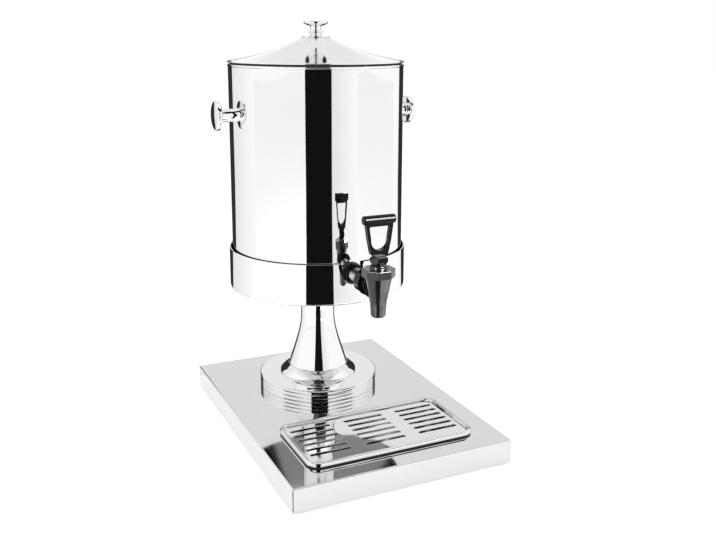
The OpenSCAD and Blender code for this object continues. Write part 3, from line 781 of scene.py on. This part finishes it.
lidSeal = {"inner": 97.5, "outer": 103, "low": 434.6, "high": 436.8, "edge": 0.4,
           "step": [(101.7, 436.8), (101.7, 435.9), (97.5, 435.9)]}
finishPiece(turned("lidSeal", [(lidSeal["inner"], lidSeal["low"])]
                   + lowCorner(lidSeal["outer"], lidSeal["low"], lidSeal["edge"])
                   + highCorner(lidSeal["outer"], lidSeal["high"], lidSeal["edge"]) + lidSeal["step"],
                   (0, tankY, 0), sides=192),
            "lid", blackRubber, "lid_seal")

knob = {"washer": 16.5, "washerThick": 2.5, "washerLow": 465.1, "washerEdge": 0.9, "hole": 2.6, "low": 467.6,
        "foot": 8.6, "ring": 1.7, "ringHeight": 4.3, "neck": 6.3, "radius": 14.5, "head": 13.2,
        "headEdge": 1.9, "top": 17.6}
washer, edge, thick, hole = sizesOf(knob, "washer washerEdge washerThick hole")
washerProfile = [(hole, 0)] + arcPoints(washer - edge, edge, edge, -90, 60) + [(9, thick), (hole, thick)]
finishPiece(turned("knobWasher", washerProfile, (0, tankY, knob["washerLow"]), sides=128),
            "lid", turnedSteel, "knob_washer")


def knobProfile():
    # a flared foot, a ring, a neck, and a head that spreads like a mushroom
    foot, neck, head, edge, top = sizesOf(knob, "foot neck head headEdge top")
    flare = [(neck + 1.2 + 5.1 * t, 11.2 + 1.9 * t ** 1.3) for t in (0.25, 0.5, 0.75, 1)]
    crown = [(r, top - 0.2 * (r / 6) ** 2) for r in (10, 8, 6, 4, 2)]
    return ([(0, 0)] + arcPoints(foot, 2.4, 2.4, -90, -140, 5) + [(5.8, 1.6)]
            + arcPoints(foot - 2.2, knob["ringHeight"], knob["ring"], -70, 70, 12)
            + arcPoints(neck + 0.6, 6.9, 0.6, -90, -180, 4)
            + arcPoints(neck + 1.2, 10.0, 1.2, 180, 90, 6) + flare
            + arcPoints(knob["radius"] - edge, head + edge, edge, -70, 66, 14) + crown + [(0, top)])


finishPiece(turned("lidKnob", knobProfile(), (0, tankY, knob["low"]), sides=128),
            "lid", turnedSteel, "lid_knob", angle=28)
print("lid and knob")

# Tap: shank with its thread, nuts, body, bonnet and lever

# one turn of the thread: (deeper, further on)
shank = {"radius": 8, "bore": 5, "start": -86, "end": -160, "pitch": 1.4,
         "thread": [(-0.65, 0.1), (0, 0.55), (0, 0.75), (-0.65, 1.2)]}


def shankProfile():
    points, y = [(shank["bore"], shank["end"])], shank["end"]
    while y < shank["start"] - shank["pitch"]:
        points += [(shank["radius"] + deeper, y + further) for deeper, further in shank["thread"]]
        y += shank["pitch"]
    return points + [(shank["radius"] - 0.6, shank["start"]), (shank["bore"], shank["start"])]


finishPiece(turned("tapShank", shankProfile(), (0, tankY, shankZ), "Y", 64),
            "tank", plainSteel, "tap_shank", angle=25)

wallNut = {"radius": 12.4, "from": -115.5, "to": -108.5, "hole": 8.05, "bevel": 0.5}


def makeWallNut():
    start, end, hole = wallNut["from"], wallNut["to"], wallNut["hole"]
    deselectAll()
    bpy.ops.mesh.primitive_cylinder_add(vertices=6, radius=wallNut["radius"] * mm, depth=(end - start) * mm,
                                        location=(0, (tankY + (start + end) / 2) * mm, shankZ * mm),
                                        rotation=lyingAlongY)
    piece = takeNew("wallNut")
    pickAll("EDGE")
    bpy.ops.mesh.bevel(offset=wallNut["bevel"] * mm, segments=3)
    leaveEdit()
    bore = turned("boreCutter", [(0, -3), (hole, -3), (hole, 12), (0, 12)], (0, tankY + start, shankZ),
                  "Y", 64)
    cutAway(piece, bore)
    return piece


finishPiece(makeWallNut(), "tank", blackGloss, "outer_nut")

sealRing = {"radius": 12.4, "inner": 8.05, "front": -108.5, "back": -104.9, "edge": 0.5}
finishPiece(turned("sealRing", [(sealRing["inner"], sealRing["front"])]
                   + lowCorner(sealRing["radius"], sealRing["front"], sealRing["edge"])
                   + [(sealRing["radius"], sealRing["back"]), (sealRing["inner"], sealRing["back"])],
                   (0, tankY, shankZ), "Y", 96),
            "tank", blackRubber, "outer_washer")

coupling = {"radius": 14.5, "front": -152.5, "back": -140.5, "bevel": 1.2, "inner": 8.1, "barrel": 10.55,
            "seat": -148}


def couplingProfile():
    r, front, back, bevel = sizesOf(coupling, "radius front back bevel")
    inner, barrel, seat = sizesOf(coupling, "inner barrel seat")
    return ([(barrel, front)] + lowCorner(r, front, bevel, 8) + [(r, front + 3), (r, back - 3)]
            + highCorner(r, back, bevel, 8) + [(inner, back), (inner, seat), (barrel, seat)])


finishPiece(turned("couplingNut", couplingProfile(), (0, tankY, shankZ), "Y", 144),
            "tank", blackGloss, "coupling_nut")

# cone: (radius, level), up the outside and down the socket; barrel: (radius, distance from the cone's axis)
spout = {"cone": [(4.6, 173.8), (4.6, 168.1), (4.9, 167.8), (6.4, 167.8), (6.9, 168.05), (7.95, 169.3),
                  (8.3, 169.8), (8.9, 181), (9.464, 185.4), (10.74, 192), (11.9, 198), (13.06, 204),
                  (14.22, 210), (14.8, 213), (11.2, 213), (11.2, 209), (4.6, 209)],
         "barrel": [(6, -8.5), (14.2, -8.5), (12.9, -10.2), (11.6, -11.6), (10.8, -12.9), (10.5, -14.2),
                    (10.5, -27), (6, -27)]}
cone = turned("tapBody", spout["cone"], (0, tapY, 0), sides=128)
barrel = turned("barrel", spout["barrel"], (0, tapY, shankZ), "Y", 96, flip=True)
finishPiece(joined([cone, barrel]), "tank", blackMould, "tap_body")

bonnet = {"low": 213, "top": 222.5, "flats": 34, "bevel": 0.5, "edge": 0.9, "boss": 9.5, "bossTop": 226,
          "hole": 2.56, "tongue": 2.9, "tongueRadius": 3.3, "tongueEdge": 0.3,
          "pivotY": -111, "pivotZ": 230.7}


def makeBonnet():
    low, top, boss, bossTop, tongueRound = sizesOf(bonnet, "low top boss bossTop tongueRadius")
    deselectAll()
    bpy.ops.mesh.primitive_cylinder_add(vertices=8, radius=bonnet["flats"] / 2 / math.cos(math.pi / 8) * mm,
                                        depth=(top - low) * mm, location=(0, tapY * mm, (top + low) / 2 * mm),
                                        rotation=(0, 0, math.pi / 8))
    piece = takeNew("tapBonnet")
    pick("EDGE", lambda edge: edgeSpan(edge, "z") > 5 * mm)
    bpy.ops.mesh.bevel(offset=bonnet["bevel"] * mm, segments=3)
    leaveEdit()
    eased(piece, bonnet["edge"], 4, 60)
    bossProfile = ([(boss + 1.2, top - 1), (boss + 1.2, top), (boss + 0.35, top + 0.25), (boss, top + 0.9)]
                   + highCorner(boss, bossTop, 0.8, 5)
                   + [(bonnet["hole"], bossTop), (bonnet["hole"], top - 1)])
    neck = turned("boss", bossProfile, (0, tapY, 0), sides=96)
    tongue = box("tongue", 2 * bonnet["tongue"], 2 * tongueRound, bossTop - 0.5, bonnet["pivotZ"],
                 y=bonnet["pivotY"])
    pick("FACE", lambda face: face.normal.z > 0.9)
    pullUp(tongueRound)
    pick("EDGE", lambda edge: edgeSpan(edge, "x") > 1 * mm
         and edgeMiddle(edge).z > (bonnet["pivotZ"] + 3) * mm)
    bpy.ops.mesh.bevel(offset=(tongueRound - 0.02) * mm, segments=10)
    leaveEdit()
    eased(tongue, bonnet["tongueEdge"])
    return joined([piece, neck, tongue])


finishPiece(makeBonnet(), "tank", blackMould, "tap_bonnet")

# front: (half width, height) counted from the bar; side and pocket: (y, z) counted from the pivot
lever = {"bar": 38, "barRadius": 5, "barZ": 276.3, "thick": 6.5, "block": 5.8, "voxel": 0.32,
         "front": [(5.8, -42), (5.8, -41), (10.3, -37.5), (11.2, -33), (13.6, -21.8), (15.9, -6.3),
                   (15.9, 0)],
         "side": [(-5.5, 5.8), (9.5, 5.8), (17, 1.3), (17, -1.5), (14, -4), (0, -4), (-4, 0), (-5.5, 0.8)],
         "loopRadius": 10.3, "loopZ": -22.7, "loopTop": [(10.35, -20.7), (12.2, -8), (11.2, -7)],
         "pocket": [(-4.2, 3.8), (11.3, 3.8), (11.3, -7), (-8, -7), (-8, 0), (-4.2, 0)], "pocketHalf": 3.2}


def ladder(name, rows, depth, at):
    # A strip of faces: starts as a narrow plane at the first row, its upper edge is extruded and widened
    # to every next (half width, height), and the whole is given its depth along Y.
    (half, low), (nextHalf, nextLow) = rows[:2]
    middle = (at[0] * mm, 0, 0)
    start = (at[0] * mm, (at[1] - depth / 2) * mm, (at[2] + (low + nextLow) / 2) * mm)
    deselectAll()
    bpy.ops.mesh.primitive_plane_add(size=1, location=start, rotation=lyingAlongY)
    piece = takeNew(name, (2 * half * mm, (nextLow - low) * mm, 1))
    pick("EDGE", lambda edge: edgeMiddle(edge).z > (at[2] + nextLow - 0.01) * mm
         and edgeSpan(edge, "z") < 1e-6)
    bpy.ops.transform.resize(value=(nextHalf / half, 1, 1), center_override=middle)
    half, low = nextHalf, nextLow
    for wide, high in rows[2:]:
        pullUp(high - low)
        bpy.ops.transform.resize(value=(wide / half, 1, 1), center_override=middle)
        half, low = wide, high
    pickAll("FACE")
    pull((0, depth * mm, 0))
    faceOut()
    return piece


def sidePlate(name, outline, halfWidth):
    # an outline seen from the side, counted from the pivot, given its width along X
    pivot = Vector((-halfWidth, bonnet["pivotY"], bonnet["pivotZ"]))
    deselectAll()
    bpy.ops.mesh.primitive_circle_add(vertices=len(outline), radius=1 * mm, fill_type="NGON",
                                      rotation=(0, math.pi / 2, 0), location=pivot * mm)
    piece = takeNew(name)
    mesh = bmesh.from_edit_mesh(piece.data)
    mesh.faces.ensure_lookup_table()
    for loop, (y, z) in zip(mesh.faces[0].loops, outline):
        loop.vert.co = (pivot + Vector((0, y, z))) * mm
    bmesh.update_edit_mesh(piece.data)
    bpy.ops.mesh.select_all(action="SELECT")
    pull((2 * halfWidth * mm, 0, 0))
    faceOut()
    return piece


def makeLever():
    at, half, thick = (0, tapY, lever["barZ"]), lever["bar"] / 2, lever["thick"]
    body = ladder("tapLever", lever["front"], thick, at)
    loop = arcPoints(0, lever["loopZ"], lever["loopRadius"], -85, 3, 11)[:-1]
    cutAway(body, ladder("loopCutter", loop + lever["loopTop"], thick + 6, at))
    barEnd = [(0, -half), (1.6, -half), (1.75, -half + 0.12), (1.95, -half + 0.12), (2.1, -half)]
    barEnd += lowCorner(lever["barRadius"], -half, 1.6, 6)
    cutAway(body, turned("bar", barEnd + [(r, -h) for r, h in reversed(barEnd)], at, "X", 64), "UNION")
    cutAway(body, sidePlate("block", lever["side"], lever["block"]), "UNION")
    cutAway(body, sidePlate("pocketCutter", lever["pocket"], lever["pocketHalf"]))
    applied(body, "REMESH", mode="VOXEL", voxel_size=lever["voxel"] * mm)
    applied(body, "SMOOTH", factor=0.5, iterations=6)
    return body


finishPiece(makeLever(), "lever", blackGloss, "tap_lever", angle=80)
print("tap")

# Stage: floor, soft light, and boards that only reflections see, as in a white light tent.
# Azimuths are in degrees round the tank's axis, 0 in front and 90 at the right; outer, right, grey and left
# count from behind. A reach is nearest and farthest in metres.

stage = {"frontFrom": -35.7, "frontTo": -3.2, "frontReach": (0.36, 1.6), "frontHigh": 2.0, "behind": 157.85,
         "outer": 44, "right": -23, "grey": (-19.5, 11.5), "left": 17, "backReach": (0.75, 1.8),
         "backHigh": 0.56, "nearReach": (0.24, 0.75), "wingReach": (0.2, 1.8), "wingHigh": 0.9,
         "shadeHigh": 0.5, "glowReach": (0.42, 0.54), "low": 0.6, "glowLow": 1.2, "steps": 16,
         "black": 0.006, "wing": 0.03, "greyTone": 0.3, "glow": 3.2}


def turnDegrees(tree):
    # the azimuth of a point of the stage
    split = addNode(tree, "SeparateXYZ", {"Vector": objectPlace(tree)}).outputs
    ahead = calculate(tree, "SUBTRACT", tankY * mm, split["Y"])
    return calculate(tree, "DEGREES", calculate(tree, "ARCTAN2", split["X"], ahead))


def boardMaterial(name, fromDegrees, toDegrees, fromValue, toValue):
    # a plain brightness, or one that changes from one azimuth to another
    material = bpy.data.materials.new(name)
    tree = emptyTree(material)
    strength = fromValue
    if toValue:
        counted = calculate(tree, "SUBTRACT", turnDegrees(tree), fromDegrees - 1)
        whole = calculate(tree, "FLOORED_MODULO", counted, 360)  # 1 at the board's first edge
        strength = spread(tree, whole, 1, 1 + toDegrees - fromDegrees, fromValue, toValue)
    light = addNode(tree, "Emission", {"Strength": strength})
    addNode(tree, "OutputMaterial", {"Surface": light.outputs["Emission"]})
    return material


def addBoard(name, fromDegrees, toDegrees, reach, high, fromValue, toValue=None, low=stage["low"]):
    # a floor strip from near to far and a curved board at its far side, pulled out of one point step by step
    deselectAll()
    axis = Vector((0, tankY, 0)) * mm
    ahead = Vector((math.sin(math.radians(fromDegrees)), -math.cos(math.radians(fromDegrees)), 0))
    bpy.ops.mesh.primitive_plane_add(size=0.01, location=axis + ahead * reach[0] + Vector((0, 0, low * mm)))
    board = takeNew(name)
    pickAll("VERT")
    bpy.ops.mesh.merge(type="CENTER")
    pull(ahead * (reach[1] - reach[0]))
    if high:
        pull((0, 0, high))
    bpy.ops.mesh.select_all(action="SELECT")
    bpy.ops.mesh.spin(steps=stage["steps"], angle=-math.radians(toDegrees - fromDegrees), center=axis,
                      axis=(0, 0, 1))
    leaveEdit()
    board.data.materials.append(boardMaterial(name, fromDegrees, toDegrees, fromValue, toValue))
    for ray in ("camera", "diffuse", "shadow", "transmission", "volume_scatter"):
        setattr(board, "visible_" + ray, False)


def addBoards():
    black, wing, glow, glowLow = sizesOf(stage, "black wing glow glowLow")
    front, back, close, side, high = sizesOf(stage, "frontReach backReach nearReach wingReach wingHigh")
    frontFrom, frontTo, shadeHigh, glowReach = sizesOf(stage, "frontFrom frontTo shadeHigh glowReach")
    farRight, right, greyFrom, greyTo, left, farLeft = (stage["behind"] + turn for turn in (
        -stage["outer"], stage["right"], *stage["grey"], stage["left"], stage["outer"]))
    addBoard("frontBoard", frontFrom, frontTo, front, stage["frontHigh"], black)
    addBoard("backBoard", right, left, back, stage["backHigh"], black)
    addBoard("nearRight", right, greyFrom, close, 0, black)
    addBoard("nearBack", greyFrom, greyTo, close, 0, stage["greyTone"])
    addBoard("nearLeft", greyTo, left, close, 0, black)
    addBoard("leftWing", left, farLeft, side, high, wing)
    addBoard("rightWing", farRight, right, side, high, wing)
    addBoard("leftShade", farLeft, stage["behind"] + 95, side, shadeHigh, 0.84, 1.05)
    addBoard("rightShade", stage["behind"] - 60, farRight, side, shadeHigh, 1.08, 0.98)
    addBoard("frontShade", frontTo, 30, front, shadeHigh, 0.85, 1.05)
    addBoard("leftGlow", -110, frontFrom, glowReach, 0, glow, low=glowLow)
    addBoard("rightGlow", frontTo, 62, glowReach, 0, glow, low=glowLow)


addBoards()


def bouncedRays(path):
    # 1 for rays that a mirror or glass sends on
    return calculate(path.id_data, "MAXIMUM", path.outputs["Is Glossy Ray"],
                     path.outputs["Is Transmission Ray"])


floor = {"size": 16, "tone": 0.82, "seen": 0.4, "reflected": 0.31}


def makeFloor():
    deselectAll()
    bpy.ops.mesh.primitive_plane_add(size=floor["size"], location=(0, 0, 0))
    piece = bpy.context.object
    piece.name = "studioFloor"
    material = bpy.data.materials.new("studioFloor")
    tree = emptyTree(material)
    path = addNode(tree, "LightPath")
    strength = calculate(tree, "MULTIPLY_ADD", path.outputs["Is Camera Ray"], floor["seen"],
                         calculate(tree, "MULTIPLY", bouncedRays(path), floor["reflected"]))
    matt = addNode(tree, "BsdfDiffuse", {"Color": (floor["tone"],) * 3 + (1,)})
    glow = addNode(tree, "Emission", {"Strength": strength})
    both = addNode(tree, "AddShader", {0: matt.outputs["BSDF"], 1: glow.outputs["Emission"]})
    addNode(tree, "OutputMaterial", {"Surface": both.outputs["Shader"]})
    piece.data.materials.append(material)


makeFloor()

# the tent: brightness for each kind of ray, and where the grey part and the black band start and end
tent = {"seen": 1.0, "diffuse": 0.8, "white": 1.05, "grey": 0.86, "black": 0.01,
        "towards": (-0.377, -0.926, 0), "greyBack": (0.1, 0.6), "greyUp": (0.1, 0.4), "bandLow": (40, 44),
        "bandHigh": (66, 70), "bandUp": (0.42, 0.5)}


def makeWorld():
    # white all round; for reflections it is greyer high behind the object, with a black band high in front
    world = bpy.data.worlds.new("whiteTent")
    bpy.context.scene.world = world
    tree = emptyTree(world)

    def stepUp(socket, ends):
        return spread(tree, socket, *ends, kind="SMOOTHSTEP")

    place = addNode(tree, "TexCoord").outputs["Generated"]
    up = addNode(tree, "SeparateXYZ", {"Vector": place}).outputs["Z"]
    # how far a direction points to the photographer
    facing = addNode(tree, "VectorMath", {0: place, 1: tent["towards"]}, operation="DOT_PRODUCT")
    front = facing.outputs["Value"]
    behind = calculate(tree, "MULTIPLY", stepUp(calculate(tree, "MULTIPLY", front, -1), tent["greyBack"]),
                       stepUp(up, tent["greyUp"]))
    tilt = calculate(tree, "DEGREES", calculate(tree, "ARCTAN2", up, front))
    band = calculate(tree, "MULTIPLY", stepUp(tilt, tent["bandLow"]),
                     calculate(tree, "SUBTRACT", 1, stepUp(tilt, tent["bandHigh"])))
    band = calculate(tree, "MULTIPLY", band, stepUp(up, tent["bandUp"]))
    reflected = mixed(tree, band, mixed(tree, behind, tent["white"], tent["grey"]), tent["black"])
    path = addNode(tree, "LightPath")
    unseen = mixed(tree, bouncedRays(path), tent["diffuse"], reflected)
    strength = mixed(tree, path.outputs["Is Camera Ray"], unseen, tent["seen"])
    light = addNode(tree, "Background", {"Color": (1, 1, 1, 1), "Strength": strength})
    addNode(tree, "OutputWorld", {"Surface": light.outputs["Background"]})


makeWorld()

# The tap's lamps are soft boxes that only the black plastic catches, in its highlights
lamps = {"overhead": {"place": (-0.5, -0.6, 1.7), "wide": 1.2, "tall": 1.2, "power": 9},
         "tapRight": {"place": (0.65, -1.3, 0.7), "wide": 0.6, "tall": 1.06, "power": 120},
         "tapLeft": {"place": (-1.35, -0.75, 0.45), "wide": 0.35, "tall": 0.9, "power": 16}}
blackPieces = bpy.data.collections.new("blackPieces")
for piece in bpy.data.objects:
    if piece.type == "MESH" and any(m in (blackGloss, blackMould) for m in piece.data.materials):
        blackPieces.objects.link(piece)
for lampName, values in lamps.items():
    deselectAll()
    bpy.ops.object.light_add(type="AREA", location=values["place"])
    lamp = bpy.context.object
    lamp.name = lampName
    lamp.data.shape = "RECTANGLE"
    lamp.data.size, lamp.data.size_y = values["wide"], values["tall"]
    lamp.data.energy = values["power"]
    lamp.rotation_euler = (Vector((0, 0.05, 0.2)) - lamp.location).to_track_quat("-Z", "Y").to_euler()
    if lampName.startswith("tap"):
        lamp.visible_diffuse = False
        lamp.light_linking.receiver_collection = blackPieces
    else:
        lamp.visible_glossy = False

camera = {"place": (-0.3994, -0.9112, 0.46898), "pitch": 12.599, "heading": 24.888, "roll": 0.19,
          "lens": 43.35, "shift": -0.06, "sensor": 36, "clip": (0.05, 40)}
deselectAll()
bpy.ops.object.camera_add(location=camera["place"], rotation=[
    math.radians(angle) for angle in (90 - camera["pitch"], -camera["roll"], -camera["heading"])])
view = bpy.context.object
view.name = "photoView"
view.data.lens = camera["lens"]
view.data.sensor_width = camera["sensor"]
view.data.shift_y = camera["shift"]
view.data.clip_start, view.data.clip_end = camera["clip"]
bpy.context.scene.camera = view
bpy.context.scene.view_settings.view_transform = "Standard"
print("stage, light and camera")
